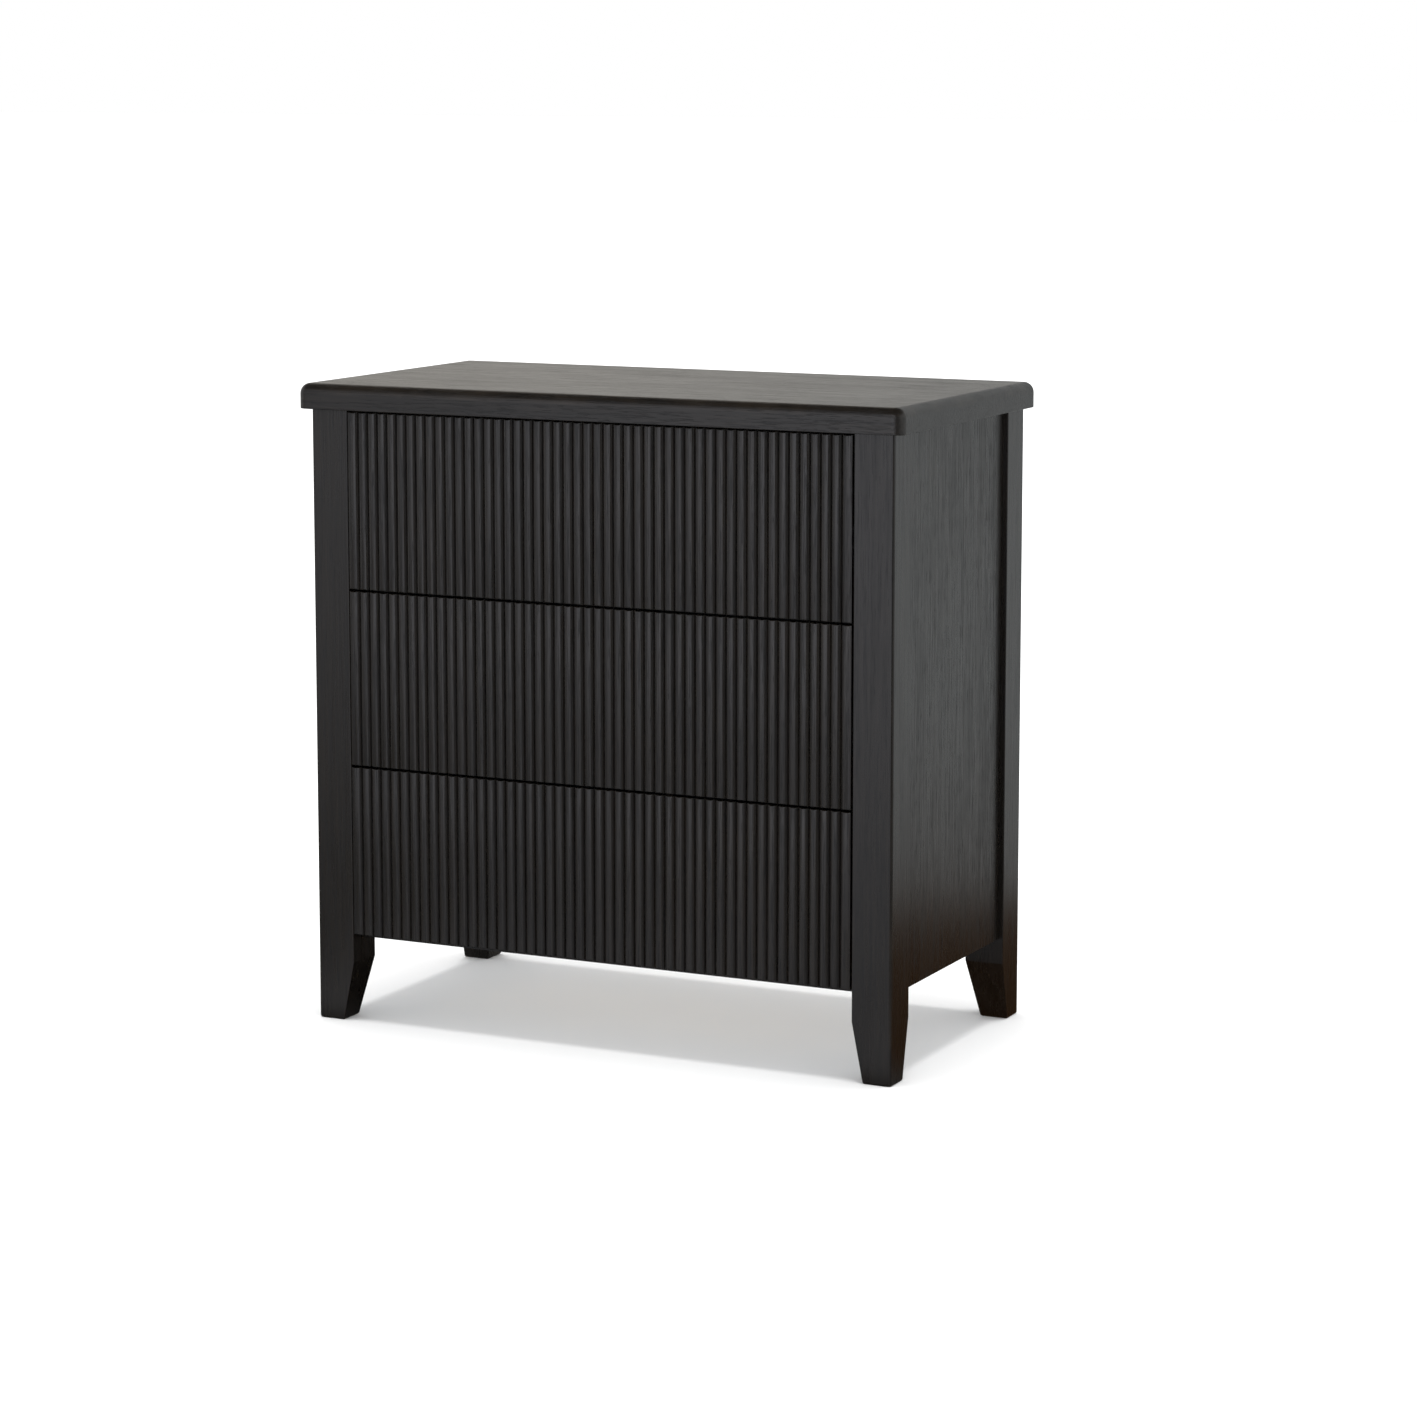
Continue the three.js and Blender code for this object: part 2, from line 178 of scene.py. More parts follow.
def wood(
    name, axis, seed, dark, light, pore, pore_depth, figure, rough, coat, bump, worn_and_highlit, sheen=1.0
):
    """Wood with its grain along one axis: growth figure, fibres, open pores, rubbed edges that are
    lighter both as wear and as a painted highlight.
    """
    material, tree, shader, coords = new_material(name)
    place = tree.mapping(coords, location=(seed * 1.37, seed * 0.71, seed * 2.13))

    def grain(scale, **settings):
        return tree.noise(tree.mapping(place, scale=stretch(axis, *scale)), **settings)

    # broad bands of early and late growth, wandering across the board
    wander = grain(WANDER_SCALE, detail=1.5)
    bands = grain(BAND_SCALE, detail=3.0, distortion=0.5)
    half_wander, half_bands = tree.math("MULTIPLY", wander, 0.5), tree.math("MULTIPLY", bands, 0.5)
    growth = tree.ramp(tree.math("ADD", half_wander, half_bands), 0.38, 0.62)
    # fibres, gathered in streaks two to four millimetres apart, with rows of open pores
    streaks = grain(STREAK_SCALE, detail=2.0, rough=0.55)
    fibres = grain(FIBRE_SCALE, detail=2.0, rough=0.6)
    fibre_mask = tree.ramp(fibres, 0.35, 0.65)
    streak_mask = tree.ramp(streaks, 0.36, 0.62)
    slits = grain(SLIT_SCALE, detail=1.0, rough=0.4)
    crowd = tree.ramp(streaks, 0.35, 0.65, 0.54, 0.68)
    pores = tree.ramp(tree.math("SUBTRACT", slits, crowd), -0.01, 0.05)
    # slow change of tone over the board
    tone = grain(TONE_SCALE, detail=2.0)
    threads = tree.math("MULTIPLY", fibre_mask, streak_mask)
    blend = tree.math(
        "ADD", tree.math("MULTIPLY", growth, figure), tree.math("MULTIPLY", threads, 1.0 - figure)
    )
    base = tree.mix(blend, dark, light)
    base = tree.mix(tree.ramp(tone, 0.3, 0.7, 0.0, 0.25), base, dark)
    base = tree.mix(tree.math("MULTIPLY", pores, pore_depth), base, pore)
    # finish rubbed thin on the arrises, in patches; their lighter colour is partly wear and partly a
    # painted highlight along the eased edges
    edge = tree.add("ShaderNodeAttribute", attribute_name="arris").outputs["Fac"]
    patch = grain(PATCH_SCALE, detail=3.0)
    rubbed_and_highlit = tree.math("MULTIPLY", edge, tree.ramp(patch, 0.42, 0.72, 0.03, 0.28))
    base = tree.mix(rubbed_and_highlit, base, worn_and_highlit)
    tree.link(base, shader.inputs["Base Color"])
    # the finish lies thicker in some places than in others and sinks into the pores
    dullest, glossiest = rough + STREAK_DULL * sheen, rough - STREAK_GLOSSY * sheen
    band_rough, cover_rough = BAND_ROUGH * sheen, COVER_ROUGH * sheen
    cover = grain(COVER_SCALE, detail=3.0, rough=0.6, distortion=0.6)
    uneven = tree.ramp(streaks, 0.3, 0.7, dullest, glossiest, smooth=False)
    for part in (
        tree.ramp(bands, 0.3, 0.7, -band_rough, band_rough, smooth=False),
        tree.ramp(cover, 0.32, 0.68, cover_rough, -cover_rough, smooth=False),
        tree.math("MULTIPLY", pores, PORE_ROUGH * sheen),
        tree.math("MULTIPLY", rubbed_and_highlit, -RUBBED_GLOSS),
    ):
        uneven = tree.math("ADD", uneven, part)
    tree.link(uneven, shader.inputs["Roughness"])
    relief = tree.math(
        "ADD",
        tree.math("MULTIPLY", fibre_mask, FIBRE_RELIEF),
        tree.math("MULTIPLY", streak_mask, STREAK_RELIEF),
    )
    tree.bump(shader, tree.math("SUBTRACT", relief, pores), bump, WOOD_RELIEF_DEPTH)
    shader.inputs["IOR"].default_value = 1.5
    shader.inputs["Coat Weight"].default_value = coat
    shader.inputs["Coat Roughness"].default_value = 0.22
    return material


def stained(name, axis, seed, rough=0.28, bump=0.5, sheen=1.0):
    """Black-brown stain under a satin finish; the pores stay open."""
    return wood(
        name, axis, seed,
        dark=(0.0052, 0.0040, 0.0030), light=(0.0125, 0.0096, 0.0071),
        # arris colour: rubbed-through wood and a painted highlight on the eased edges
        pore=(0.0022, 0.0017, 0.0013), worn_and_highlit=(0.030, 0.022, 0.015),
        pore_depth=0.85, figure=0.35, rough=rough, coat=0.0, bump=bump, sheen=sheen,
    )


def pale(name, axis, seed):
    """Bare light wood of the drawer boxes."""
    return wood(
        name, axis, seed,
        dark=(0.42, 0.27, 0.145), light=(0.60, 0.43, 0.255), pore=(0.27, 0.16, 0.08),
        pore_depth=0.5, figure=0.55, rough=0.46, coat=0.1, bump=0.3,
        worn_and_highlit=(0.62, 0.46, 0.29),
    )


def plywood(name, axis, seed):
    """Paler veneer of the drawer bottoms."""
    return wood(
        name, axis, seed,
        dark=(0.55, 0.40, 0.24), light=(0.70, 0.54, 0.34), pore=(0.42, 0.28, 0.15),
        pore_depth=0.35, figure=0.7, rough=0.5, coat=0.05, bump=0.2,
        worn_and_highlit=(0.70, 0.55, 0.36),
    )


ROLLING_SCALE, SPANGLE_SCALE, ROLLING_DEPTH = (2600.0, 30.0), (55.0, 55.0, 55.0), 0.04 * MM


def metal(name, colour, rough, brushed_axis, seed):
    """Zinc-plated steel: rolling marks along the strip and a faint cloudy spangle."""
    material, tree, shader, coords = new_material(name)
    place = tree.mapping(coords, location=(seed * 0.9, seed * 1.7, seed * 0.4))
    marks = tree.noise(
        tree.mapping(place, scale=stretch(brushed_axis, *ROLLING_SCALE)), detail=2.0
    )
    cloud = tree.noise(tree.mapping(place, scale=SPANGLE_SCALE), detail=2.0)
    dull = tuple(c * 0.82 for c in colour)
    tree.link(tree.mix(tree.ramp(cloud, 0.35, 0.65), colour, dull), shader.inputs["Base Color"])
    tree.link(tree.ramp(marks, 0.3, 0.7, rough - 0.06, rough + 0.08), shader.inputs["Roughness"])
    tree.bump(shader, marks, 0.25, ROLLING_DEPTH)
    shader.inputs["Metallic"].default_value = 1.0
    return material


X, Y, Z = 0, 1, 2
TOP_WOOD = stained("stained_top", X, 3.0, rough=0.32, sheen=0.35)
POST_WOOD = [stained(f"stained_post_{i}", Z, 5.0 + i, bump=0.16, sheen=0.5) for i in range(4)]
PANEL_WOOD = [stained(f"stained_panel_{i}", Z, 11.0 + i) for i in range(2)]
BACK_WOOD = stained("stained_back", Z, 15.0)
RAIL_WOOD = stained("stained_rail", X, 17.0)
PACKER_WOOD = stained("stained_packer", Y, 19.0)
FRONT_WOOD = [stained(f"stained_front_{i}", Z, 23.0 + 2 * i) for i in range(3)]
BOX_LONG = pale("box_wood_across", X, 31.0)
BOX_SIDE = pale("box_wood_deep", Y, 33.0)
BOX_PLY = plywood("box_plywood", X, 37.0)
STEEL = metal("zinc_steel", (0.60, 0.62, 0.64), 0.34, Y, 41.0)
SCREW_STEEL = metal("screw_steel", (0.50, 0.50, 0.48), 0.30, Z, 43.0)
CAGE_STEEL = metal("cage_steel", (0.42, 0.41, 0.38), 0.30, Y, 47.0)

# ---------------------------------------------------------------- mesh helpers


def finish_mesh(name, mesh_data, material, angle=32.0, arris_width=None, crease_z=None):
    """Makes an object from a bmesh, smooth up to an angle, with its arrises marked for wear and a
    painted highlight.
    """
    bmesh.ops.recalc_face_normals(mesh_data, faces=mesh_data.faces)
    limit = math.radians(angle)
    for face in mesh_data.faces:
        face.smooth = True
    for edge in mesh_data.edges:
        edge.smooth = len(edge.link_faces) == 2 and edge.calc_face_angle(0.0) < limit
        if crease_z is not None and all(abs(v.co.z - crease_z) < 0.1 * MM for v in edge.verts):
            edge.smooth = False
    if arris_width:
        layer = mesh_data.verts.layers.float.new("arris")
        width = {
            face: face.calc_area() / max(edge.calc_length() for edge in face.edges)
            for face in mesh_data.faces
        }
        for vert in mesh_data.verts:
            vert[layer] = float(all(width[face] < arris_width for face in vert.link_faces))
    mesh = bpy.data.meshes.new(name)
    mesh_data.to_mesh(mesh)
    mesh_data.free()
    mesh.materials.append(material)
    piece = bpy.data.objects.new(name, mesh)
    bpy.context.scene.collection.objects.link(piece)
    return piece


def flatten_shading(piece):
    """Keeps large flat faces flat in the shading beside their rounded arrises."""
    weighted = piece.modifiers.new("flat_faces", "WEIGHTED_NORMAL")
    weighted.mode = "FACE_AREA"
    weighted.weight = 100
    weighted.keep_sharp = True


def ring_faces(mesh_data, rings):
    """Joins rings of vertices, each closed on itself, one to the next."""
    for low, high in zip(rings, rings[1:]):
        count = len(low)
        for i in range(count):
            j = (i + 1) % count
            mesh_data.faces.new((low[i], low[j], high[j], high[i]))


def rounded_outline(half_x, half_y, centre_y, radius, inset, steps):
    """Points round a rectangle with round corners, drawn in by an inset."""
    points = []
    r = radius - inset
    for quarter, (sx, sy) in enumerate(((1, 1), (-1, 1), (-1, -1), (1, -1))):
        for i in range(steps + 1):
            angle = (quarter + i / steps) * math.pi / 2
            points.append((
                sx * (half_x - radius) + r * math.cos(angle),
                centre_y + sy * (half_y - radius) + r * math.sin(angle),
            ))
    return points


def make_top():
    """Top panel with a full round on the upper edge and a slightly eased lower edge."""
    low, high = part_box("top_panel")
    half_x, half_y = (high.x - low.x) / 2, (high.y - low.y) / 2
    centre_y = (high.y + low.y) / 2
    corner, edge, ease = 12.0 * MM, 11.5 * MM, 0.8 * MM
    corner_steps, edge_steps, ease_steps = 10, 12, 3
    levels = [(inset, low.z + rise) for inset, rise in quarter_round(ease, ease_steps)]
    levels += [(inset, high.z - drop) for drop, inset in quarter_round(edge, edge_steps)]
    data = bmesh.new()
    rings = []
    for inset, z in levels:
        outline = rounded_outline(half_x, half_y, centre_y, corner, inset, corner_steps)
        rings.append([data.verts.new((x, y, z)) for x, y in outline])
    ring_faces(data, rings)
    per_corner = corner_steps + 1
    for ring, z in ((rings[0], low.z), (rings[-1], high.z)):
        hubs = [
            data.verts.new((sx * (half_x - corner), centre_y + sy * (half_y - corner), z))
            for sx, sy in ((1, 1), (-1, 1), (-1, -1), (1, -1))
        ]
        data.faces.new(hubs)
        for quarter in range(4):
            first = quarter * per_corner
            for i in range(first, first + corner_steps):
                data.faces.new((hubs[quarter], ring[i], ring[i + 1]))
            last, following = first + corner_steps, (first + per_corner) % len(ring)
            data.faces.new((hubs[quarter], ring[last], ring[following], hubs[(quarter + 1) % 4]))
    piece = finish_mesh("top", data, TOP_WOOD, angle=40.0, arris_width=2.0 * MM)
    flatten_shading(piece)
    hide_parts("top_panel")
    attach(piece, "case")


def make_post(end_name, end, side_name, side, material):
    """Post and foot: outer faces upright, inner faces tapering below, long edges eased."""
    node = f"post_{end_name}_{side_name}"
    low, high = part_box(node)
    outer_x, inner_x = (low.x, high.x) if side < 0 else (high.x, low.x)
    outer_y, inner_y = (low.y, high.y) if end < 0 else (high.y, low.y)
    taper_start, foot, base_ease = 65.5 * MM, 32.0 * MM, 2.2 * MM
    outer_round, inner_round, steps = 3.2 * MM, 1.0 * MM, 6
    foot_x, foot_y = outer_x - side * foot, outer_y - end * foot

    def section(z, x, y, inset):
        """Rounded rectangle from the outer corner of the post to (x, y)."""
        corners = (
            (outer_x, outer_y, side, end, outer_round), (x, outer_y, -side, end, inner_round),
            (x, y, -side, -end, inner_round), (outer_x, y, side, -end, inner_round),
        )
        points = []
        for index, (cx, cy, sx, sy, radius) in enumerate(corners):
            turn = 1 if index % 2 else -1
            for in_x, in_y in quarter_round(radius, steps)[::turn]:
                points.append((cx - sx * (inset + in_x), cy - sy * (inset + in_y), z))
        return points

    levels = []
    for inset, rise in quarter_round(base_ease, 3):
        share = (low.z + rise) / taper_start
        levels.append((
            low.z + rise, foot_x + (inner_x - foot_x) * share,
            foot_y + (inner_y - foot_y) * share, inset,
        ))
    levels += [(taper_start, inner_x, inner_y, 0.0), (high.z, inner_x, inner_y, 0.0)]
    data = bmesh.new()
    rings = [[data.verts.new(point) for point in section(*level)] for level in levels]
    ring_faces(data, rings)
    data.faces.new(rings[0])
    data.faces.new(rings[-1])
    piece = finish_mesh(
        f"{node}_eased", data, material, angle=35.0, arris_width=2.0 * MM, crease_z=taper_start,
    )
    flatten_shading(piece)
    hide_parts(node)
    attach(piece, "case")


def reed_section(pitch):
    """Points across one reed, from its left groove to its right one: (along, depth)."""
    half_groove, groove_depth, rise, fullness = 0.4 * MM, 3.2 * MM, 2.6 * MM, 3.2
    half = pitch / 2 - half_groove
    points = [(0.0, groove_depth)]
    steps = 16
    for i in range(steps + 1):
        across = math.sin(math.pi / 2 * (2 * i / steps - 1))
        points.append((pitch / 2 + half * across, rise * abs(across) ** fullness))
    return points


def make_front(number, material):
    """Reeded drawer front, eased at its ends; it hangs a hair to the left in its opening."""
    node = f"drawer_{number}_front"
    low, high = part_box(node)
    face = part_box("post_front_left")[0].y
    back = high.y
    reeds, hang, end_depth = 50, -1.0 * MM, 0.25
    pitch = (high.x - low.x) / reeds
    section = []
    for i in range(reeds):
        for along, depth in reed_section(pitch):
            outermost = (i == 0 and along < pitch / 2) or (i == reeds - 1 and along > pitch / 2)
            section.append((
                low.x + hang + i * pitch + along, face + depth * (end_depth if outermost else 1.0),
            ))
    section.append((high.x + hang, section[-1][1]))
    end_round = quarter_round(1.3 * MM, 3)
    levels = [(low.z + rise, inset) for inset, rise in end_round]
    levels += [(high.z - drop, inset) for drop, inset in end_round]
    data = bmesh.new()
    rings = []
    for z, inset in levels:
        outer = [data.verts.new((x, max(y, face + inset), z)) for x, y in section]
        inner = [data.verts.new((x, back, z)) for x, _ in reversed(section)]
        rings.append(outer + inner)
    ring_faces(data, rings)
    count = len(section)
    for ring in (rings[0], rings[-1]):
        for i in range(count - 1):
            data.faces.new((ring[i], ring[i + 1], ring[2 * count - 2 - i], ring[2 * count - 1 - i]))
    piece = finish_mesh(f"drawer_{number}_reeded_front", data, material, angle=38.0)
    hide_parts(node)
    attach(piece, f"drawer_{number}")


def ease_edges(node, width):
    """Rounds off the sharp edges of a carried-over CAD node."""
    bevel = NODES[node].modifiers.new("eased", "BEVEL")
    bevel.width = width
    bevel.segments = 2
    bevel.limit_method = "ANGLE"
    bevel.angle_limit = math.radians(40)
    bevel.use_clamp_overlap = True
    bevel.harden_normals = True


def paint(node, material):
    for slot in NODES[node].material_slots:
        slot.material = material


# ---------------------------------------------------------------- carcass

PANEL_EASE, BOARD_EASE, STEEL_EASE = 0.6 * MM, 0.8 * MM, 0.3 * MM
make_top()
for row, (end_name, end) in enumerate(ENDS):
    for column, (side_name, side) in enumerate(SIDES):
        make_post(end_name, end, side_name, side, POST_WOOD[2 * row + column])
for (side_name, _), panel_wood in zip(SIDES, PANEL_WOOD):
    paint(f"side_panel_{side_name}", panel_wood)
    ease_edges(f"side_panel_{side_name}", PANEL_EASE)
    paint(f"top_cleat_{side_name}", PACKER_WOOD)
    ease_edges(f"top_cleat_{side_name}", PANEL_EASE)
paint("back_panel", BACK_WOOD)
for node in (
    "front_rail_top", "front_rail_divider_upper", "front_rail_divider_lower", "front_rail_bottom",
    "rear_rail_upper", "rear_rail_lower",
):
    paint(node, RAIL_WOOD)
    ease_edges(node, BOARD_EASE)

# ---------------------------------------------------------------- drawers and slides

for number in DRAWERS:
    make_front(number, FRONT_WOOD[number - 1])
    for node, material in (
        (f"drawer_{number}_inner_front", BOX_LONG),
        (f"drawer_{number}_back", BOX_LONG),
        (f"drawer_{number}_side_left", BOX_SIDE),
        (f"drawer_{number}_side_right", BOX_SIDE),
        (f"drawer_{number}_bottom", BOX_PLY),
    ):
        paint(node, material)
        if material is not BOX_PLY:
            ease_edges(node, BOARD_EASE)
    for side_name, _ in SIDES:
        paint(f"slide_packer_{number}_{side_name}", PACKER_WOOD)
        for member in ("case", "middle", "drawer"):
            node = f"slide_{number}_{member}_member_{side_name}"
            paint(node, STEEL)
            ease_edges(node, STEEL_EASE)

# ---------------------------------------------------------------- hardware


def add_screw(data, place, direction, radius, height):
    """Pan head with a cross recess, standing on a surface and facing a direction."""
    sides = 32
    turn = direction.to_track_quat("Z", "Y").to_matrix().to_4x4()
    matrix = Matrix.Translation(place) @ turn
    recess, depth = 0.52 * radius, 0.55 * height

    def round_ring(r, z):
        return [(r, z) for _ in range(sides)]

    def cross_ring(r, z):
        return [
            (r * (0.34 + 0.66 * abs(math.cos(2 * math.tau * i / sides)) ** 3), z)
            for i in range(sides)
        ]

    rings = []
    for ring in (
        round_ring(radius, 0.0), round_ring(radius, 0.25 * height),
        round_ring(0.96 * radius, 0.55 * height), round_ring(0.82 * radius, 0.86 * height),
        round_ring(0.62 * radius, height), cross_ring(recess, height),
        cross_ring(0.8 * recess, height - depth),
    ):
        rings.append([
            data.verts.new(matrix @ Vector((
                r * math.cos(math.tau * i / sides), r * math.sin(math.tau * i / sides), z,
            )))
            for i, (r, z) in enumerate(ring)
        ])
    ring_faces(data, rings)
    data.faces.new(rings[0])
    floor = data.verts.new(matrix @ Vector((0.0, 0.0, height - depth)))
    for i in range(sides):
        data.faces.new((rings[-1][i], rings[-1][(i + 1) % sides], floor))


def make_screws(name, body, places, direction, radius=3.8 * MM, height=1.9 * MM):
    data = bmesh.new()
    for place in places:
        add_screw(data, Vector(place), Vector(direction), radius, height)
    piece = finish_mesh(name, data, SCREW_STEEL, angle=50.0)
    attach(piece, body)


def add_cage(data, x, z, y_start, balls, pitch, wide):
    """Strip that spaces the balls of one race, wider round each ball."""
    thick, steps = 0.5 * MM, 8 * balls
    length = pitch * balls
    rows = []
    for i in range(steps + 1):
        y = y_start + length * i / steps
        swell = 0.5 - 0.5 * math.cos(math.tau * balls * i / steps)
        half = wide * (0.55 + 0.45 * swell)
        rows.append([
            data.verts.new((x + dx, y, z + dz))
            for dx, dz in ((-half, -thick), (half, -thick), (half, thick), (-half, thick))
        ])
    ring_faces(data, rows)
    data.faces.new(rows[0])
    data.faces.new(rows[-1])


def make_bearings(number, side_name, side):
    """Balls and cages of both stages of one slide; they stay with the middle member."""
    low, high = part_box(f"slide_{number}_case_member_{side_name}")
    web = high.x if side > 0 else low.x
    centre = (low.z + high.z) / 2
    ball, balls, pitch, cage_half = 1.55 * MM, 6, 20.0 * MM, 1.9 * MM
    # outer race between case and middle member, inner race between middle and drawer member
    races = ((6.4, 19.6, 12.0), (7.4, 15.1, -138.0))
    data = bmesh.new()
    for depth, height, y_start in races:
        x = web - side * depth * MM
        for up in (-1, 1):
            z = centre + up * height * MM
            add_cage(data, x, z, y_start * MM, balls, pitch, cage_half)
            for i in range(balls):
                place = Matrix.Translation((x, y_start * MM + (i + 0.5) * pitch, z))
                bmesh.ops.create_icosphere(data, subdivisions=2, radius=ball, matrix=place)
    piece = finish_mesh(f"slide_{number}_bearings_{side_name}", data, CAGE_STEEL, angle=45.0)
    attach(piece, f"drawer_{number}_runners")


FRONT_SCREW_X, FRONT_SCREW_MARGIN = (-190, 190), 35 * MM
SLIDE_SCREW_Y, SLIDE_STEEL = (-132, -20, 118), 1.25 * MM
BACK_SCREW_X = (-280, -140, 0, 140, 280)

for number in DRAWERS:
    inner_low, inner_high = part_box(f"drawer_{number}_inner_front")
    rows = (inner_low.z + FRONT_SCREW_MARGIN, inner_high.z - FRONT_SCREW_MARGIN)
    make_screws(
        f"drawer_{number}_front_screws", f"drawer_{number}",
        [(x * MM, inner_high.y, z) for x in FRONT_SCREW_X for z in rows], (0, 1, 0),
    )
    for side_name, side in SIDES:
        make_bearings(number, side_name, side)
        low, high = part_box(f"slide_{number}_drawer_member_{side_name}")
        web = (low.x if side > 0 else high.x) + side * SLIDE_STEEL
        make_screws(
            f"slide_{number}_screws_{side_name}", f"drawer_{number}",
            [(web, y * MM, (low.z + high.z) / 2) for y in SLIDE_SCREW_Y], (side, 0, 0),
            radius=3.4 * MM, height=1.5 * MM,
        )
rail_heights = [
    sum(corner.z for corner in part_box(rail)) / 2 for rail in ("rear_rail_upper", "rear_rail_lower")
]
back_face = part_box("back_panel")[1].y
make_screws(
    "back_panel_screws", "case",
    [(x * MM, back_face, z) for x in BACK_SCREW_X for z in rail_heights], (0, 1, 0),
)

# ---------------------------------------------------------------- floor, light, camera


def see_only(piece, camera=False, glossy=False, diffuse=False, shadow=False):
    piece.visible_camera = camera
    piece.visible_glossy = glossy
    piece.visible_diffuse = diffuse
    piece.visible_shadow = shadow
    piece.visible_transmission = camera
    piece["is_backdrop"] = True


FLOOR_HALF = 60.0


def plane(name, half, z, material):
    """Level square of a half width about the middle of the piece."""
    data = bmesh.new()
    corners = [(-half, -half), (half, -half), (half, half), (-half, half)]
    data.faces.new([data.verts.new((x, y, z)) for x, y in corners])
    return finish_mesh(name, data, material)


def make_floor():
    material, tree, shader, coords = new_material("studio_floor")
    speckle = tree.noise(tree.mapping(coords, scale=(3.0, 3.0, 3.0)), detail=2.0)
    tree.link(tree.mix(tree.ramp(speckle, 0.3, 0.7), (0.86, 0.86, 0.86), (0.88, 0.88, 0.88)),
              shader.inputs["Base Color"])
    shader.inputs["Roughness"].default_value = 0.9
    shader.inputs["Specular IOR Level"].default_value = 0.1
    floor = plane("floor", FLOOR_HALF, 0.0, material)
    see_only(floor, camera=True, diffuse=True, shadow=True)


def glow_material(name):
    material = bpy.data.materials.new(name)
    material.use_nodes = True
    material.cycles.emission_sampling = "NONE"
    tree = Tree(material.node_tree)
    glow = tree.add("ShaderNodeEmission")
    output = tree.add("ShaderNodeOutputMaterial")
    tree.link(glow.outputs["Emission"], output.inputs["Surface"])
    coords = tree.add("ShaderNodeTexCoord").outputs["Object"]
    return material, tree, glow, coords


def aimed(tree, coords, azimuth, inner, outer):
    """1 within the inner angle of an azimuth (from the front, to the right), 0 past the outer."""
    flat = tree.add("ShaderNodeVectorMath", operation="MULTIPLY")
    tree.link(coords, flat.inputs[0])
    flat.inputs[1].default_value = (1.0, 1.0, 0.0)
    unit = tree.add("ShaderNodeVectorMath", operation="NORMALIZE")
    tree.link(flat.outputs["Vector"], unit.inputs[0])
    dot = tree.add("ShaderNodeVectorMath", operation="DOT_PRODUCT")
    tree.link(unit.outputs["Vector"], dot.inputs[0])
    angle = math.radians(azimuth)
    dot.inputs[1].default_value = (math.sin(angle), -math.cos(angle), 0.0)
    return tree.ramp(dot.outputs["Value"], math.cos(math.radians(outer)),
                     math.cos(math.radians(inner)))


def add_light(tree, total, mask, colour):
    """Adds a soft box of one colour, cut out by a mask, to the light so far."""
    box = tree.add("ShaderNodeVectorMath", operation="SCALE")
    box.inputs[0].default_value = colour
    tree.link(mask, box.inputs["Scale"])
    both = tree.add("ShaderNodeVectorMath", operation="ADD")
    tree.link(total, both.inputs[0])
    tree.link(box.outputs["Vector"], both.inputs[1])
    return both.outputs["Vector"]


FRONT_BOX = dict(azimuth=-7.0, inner=6.0, outer=34.0)
LEFT_BOX = dict(azimuth=-80.0, inner=5.0, outer=48.0)
BACK_BOX = dict(azimuth=-138.0, inner=4.0, outer=30.0)
SIDE_BOX = dict(azimuth=155.0, inner=18.0, outer=60.0)
BESIDE_PANEL = dict(azimuth=125.0, inner=35.0, outer=65.0)
RIGHT_BOX = dict(azimuth=90.0, inner=6.0, outer=42.0)
FRONT_LIGHT = (1.32, 1.34, 1.46)
LEFT_LIGHT = (0.58, 0.58, 0.60)
BACK_LIGHT = (0.72, 0.685, 0.625)
SIDE_LIGHT = (0.455, 0.48, 0.485)
RIGHT_LIGHT = (0.62, 0.635, 0.64)
REST_LIGHT = (0.14, 0.14, 0.14)
NEAR_BROWN = (0.080, 0.031, 0.003)
# Ramps over height or distance from the piece: from, to, value before, value after.
WALL_TOP = (10.0, 14.5, 1.0, 0.03)
CLEAR_OF_PIECE = (0.30, 0.42)
FAR_GROWTH = (1.0, 4.0, 0.30, 1.0)
DISTANT_GROWTH = (1.4, 5.0)
BEFORE_FRONT = (0.19, 0.26)
NEAR_FRONT = (0.42, 0.75, 0.26, 0.0)
SIDE_START = (0.82, 1.08)
SIDE_GROWTH = (1.0, 2.6, 0.74, 1.0)
DOME_RADIUS, CARD_HALF, CARD_HEIGHT = 20.0, 19.0, -2.0 * MM


def constant_light(tree, colour):
    level = tree.add("ShaderNodeCombineXYZ")
    for socket, value in zip(level.inputs, colour):
        socket.default_value = value
    return level.outputs["Vector"]


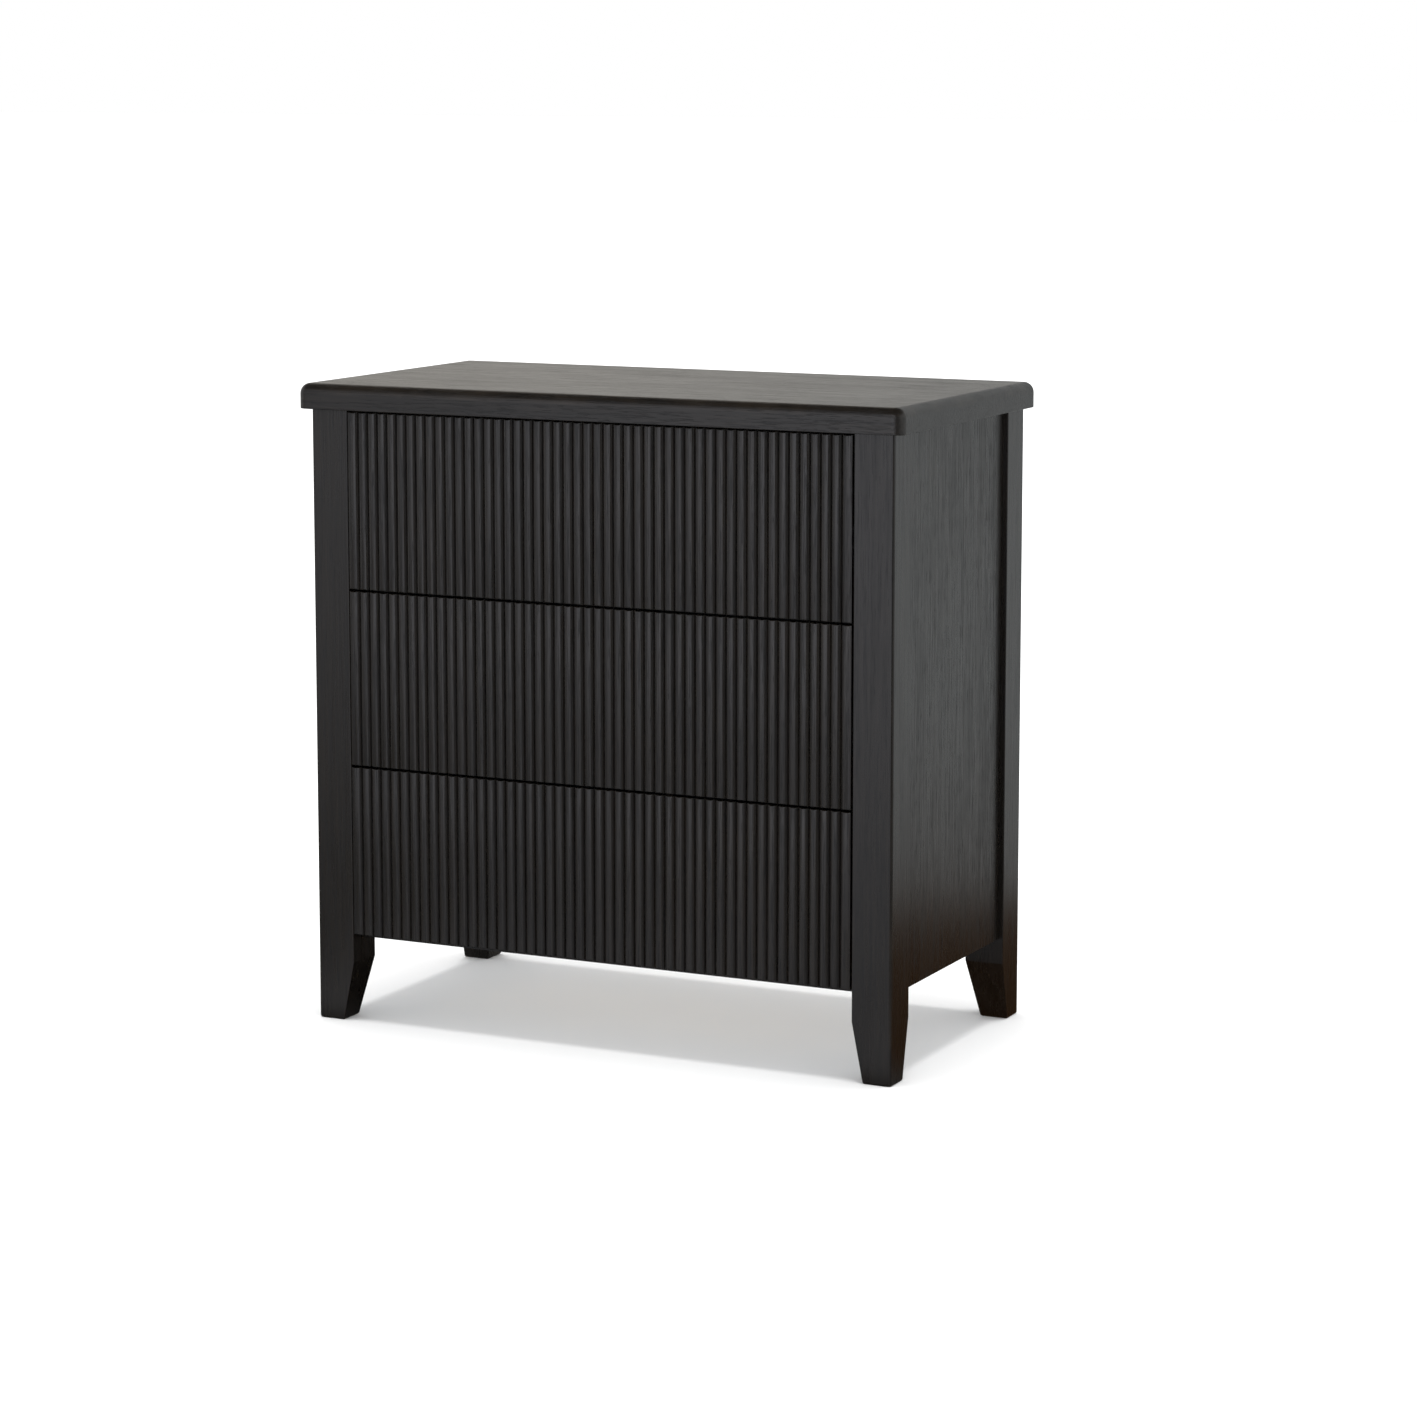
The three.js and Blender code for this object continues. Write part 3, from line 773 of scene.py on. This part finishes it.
def make_reflections():
    """What the lacquer mirrors: bright walls, a dark ceiling, a floor that fades near by."""
    material, tree, glow, coords = glow_material("mirrored_walls")
    parts = tree.add("ShaderNodeSeparateXYZ")
    tree.link(coords, parts.inputs["Vector"])
    light = constant_light(tree, REST_LIGHT)
    for box, colour in (
        (FRONT_BOX, FRONT_LIGHT), (LEFT_BOX, LEFT_LIGHT), (BACK_BOX, BACK_LIGHT),
        (SIDE_BOX, SIDE_LIGHT), (RIGHT_BOX, RIGHT_LIGHT),
    ):
        light = add_light(tree, light, aimed(tree, coords, **box), colour)
    tree.link(light, glow.inputs["Color"])
    tree.link(tree.ramp(parts.outputs["Z"], *WALL_TOP), glow.inputs["Strength"])
    data = bmesh.new()
    bmesh.ops.create_uvsphere(data, u_segments=64, v_segments=32, radius=DOME_RADIUS)
    dome = finish_mesh("mirrored_walls", data, material, angle=60.0)
    see_only(dome, glossy=True)

    material, tree, glow, coords = glow_material("mirrored_floor")
    length = tree.add("ShaderNodeVectorMath", operation="LENGTH")
    tree.link(coords, length.inputs[0])
    distance = length.outputs["Value"]
    clear = tree.ramp(distance, *CLEAR_OF_PIECE)
    far = tree.math("MULTIPLY", clear, tree.ramp(distance, *FAR_GROWTH, smooth=False))
    parts = tree.add("ShaderNodeSeparateXYZ")
    tree.link(coords, parts.inputs["Vector"])
    before = tree.math("MULTIPLY", parts.outputs["Y"], -1.0)
    near_front = tree.math(
        "MULTIPLY", tree.ramp(before, *BEFORE_FRONT), tree.ramp(distance, *NEAR_FRONT)
    )
    side_far = tree.math(
        "MULTIPLY", tree.ramp(distance, *SIDE_START),
        tree.ramp(distance, *SIDE_GROWTH, smooth=False),
    )
    side = aimed(tree, coords, **SIDE_BOX)
    light = constant_light(tree, (0.0, 0.0, 0.0))
    very_far = tree.ramp(distance, *DISTANT_GROWTH, smooth=False)
    for box, colour, reach in (
        (FRONT_BOX, FRONT_LIGHT, far), (BACK_BOX, BACK_LIGHT, far),
        (LEFT_BOX, LEFT_LIGHT, very_far), (RIGHT_BOX, RIGHT_LIGHT, very_far),
    ):
        mask = tree.math("MULTIPLY", aimed(tree, coords, **box), reach)
        if box is FRONT_BOX:
            mask = tree.math("MAXIMUM", mask, near_front)
        light = add_light(tree, light, mask, colour)
    beside = aimed(tree, coords, **BESIDE_PANEL)
    near_side = tree.math("MULTIPLY", beside, tree.math("SUBTRACT", 1.0, side_far))
    elsewhere = tree.math("MULTIPLY", clear, tree.math("SUBTRACT", 1.0, near_side))
    light = add_light(tree, light, elsewhere, REST_LIGHT)
    light = add_light(tree, light, near_side, NEAR_BROWN)
    light = add_light(tree, light, tree.math("MULTIPLY", side, side_far), SIDE_LIGHT)
    tree.link(light, glow.inputs["Color"])
    card = plane("mirrored_floor", CARD_HALF, CARD_HEIGHT, material)
    see_only(card, glossy=True)


def make_world():
    world = bpy.data.worlds.new("studio")
    world.use_nodes = True
    bpy.context.scene.world = world
    world.cycles_visibility.glossy = False
    tree = Tree(world.node_tree)
    background = tree.add("ShaderNodeBackground")
    background.inputs["Color"].default_value = (1.0, 1.0, 1.0, 1.0)
    background.inputs["Strength"].default_value = 1.0
    output = tree.add("ShaderNodeOutputWorld")
    tree.link(background.outputs["Background"], output.inputs["Surface"])


def make_lamps():
    """Overhead sun for the shadow under the case, and a low fill that keeps it pale."""
    sun = bpy.data.lights.new("overhead", "SUN")
    sun.energy = 2.4
    sun.angle = math.radians(22.0)
    fill = bpy.data.lights.new("under_fill", "AREA")
    fill.shape = "RECTANGLE"
    fill.size, fill.size_y = 0.66, 0.32
    fill.energy = 0.29
    fill.color = (0.76, 0.88, 1.0)
    for data, place in ((sun, (0.0, 0.0, 5.0)), (fill, (0.0, 0.0, 0.088))):
        lamp = bpy.data.objects.new(data.name, data)
        lamp.location = place
        lamp.visible_camera = False
        lamp.visible_glossy = False
        bpy.context.scene.collection.objects.link(lamp)


def make_camera():
    data = bpy.data.cameras.new("camera")
    data.sensor_width = 36.0
    data.lens = 99.233
    data.shift_y = -0.08
    data.clip_end = 200.0
    camera = bpy.data.objects.new("camera", data)
    turn, tilt = math.radians(25.9935), math.radians(7.8158)
    camera.location = (1.91356, -3.82211, 1.06198)
    camera.rotation_euler = (math.pi / 2 - tilt, 0.0, turn)
    bpy.context.scene.collection.objects.link(camera)
    bpy.context.scene.camera = camera


make_floor()
make_reflections()
make_world()
make_lamps()
make_camera()
bpy.context.scene.view_settings.view_transform = "Standard"

low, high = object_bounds()
